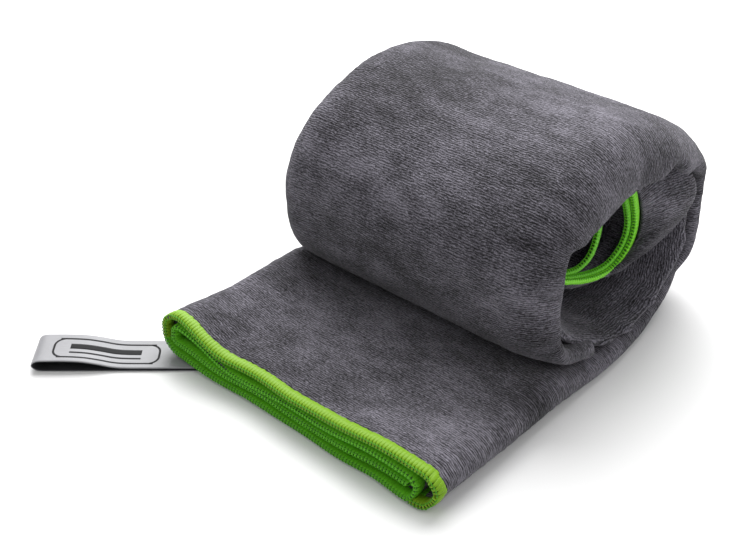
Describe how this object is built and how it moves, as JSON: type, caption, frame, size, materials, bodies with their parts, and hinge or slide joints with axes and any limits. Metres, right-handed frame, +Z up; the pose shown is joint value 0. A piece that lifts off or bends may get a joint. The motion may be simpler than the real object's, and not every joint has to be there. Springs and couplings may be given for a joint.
{
  "type": "quick dry towel",
  "caption": "Rolled and folded grey terry travel towel with a green overlocked edge, a loose end lying flat and a hanging loop at its corner.",
  "frame": {"origin": "middle of the roll's underside, where it rests on the ground", "axes": "+X along the roll, towards the end where the core's green edging shows; -Y towards the loose end's front edge; +Z up"},
  "size_m": [0.2544, 0.3224, 0.13],
  "materials": {
    "cloth": "terry pile, matt",
    "edging": "overlock thread, slight sheen",
    "tape_face": "smooth printed ribbon, satin",
    "tape_backing": "woven tape, matt",
    "loop_thread": "dense stitching"
  },
  "bodies": {
    "roll": {"rolled_cloth": "cloth", "core_end_edging": "edging", "core_side_edging": "edging"},
    "flap": {"flap_cloth": "cloth", "front_edging": "edging", "flap_side_edging": "edging", "loop_root": "tape_face", "loop_bartack": "loop_thread"},
    "loop": {"loop_face_tape": "tape_face", "loop_backing_tape": "tape_backing"}
  },
  "joints": [
    {"name": "flap_lift", "type": "hinge", "parent": "roll", "child": "flap", "pos_m": [0, -0.0612, 0.0127], "axis": [-1, 0, 0], "range_deg": [0, 35]},
    {"name": "loop_lift", "type": "hinge", "parent": "flap", "child": "loop", "pos_m": [-0.09872, -0.17935, 0.0022], "axis": [-0.6691, 0.7431, 0], "range_deg": [0, 80]}
  ]
}
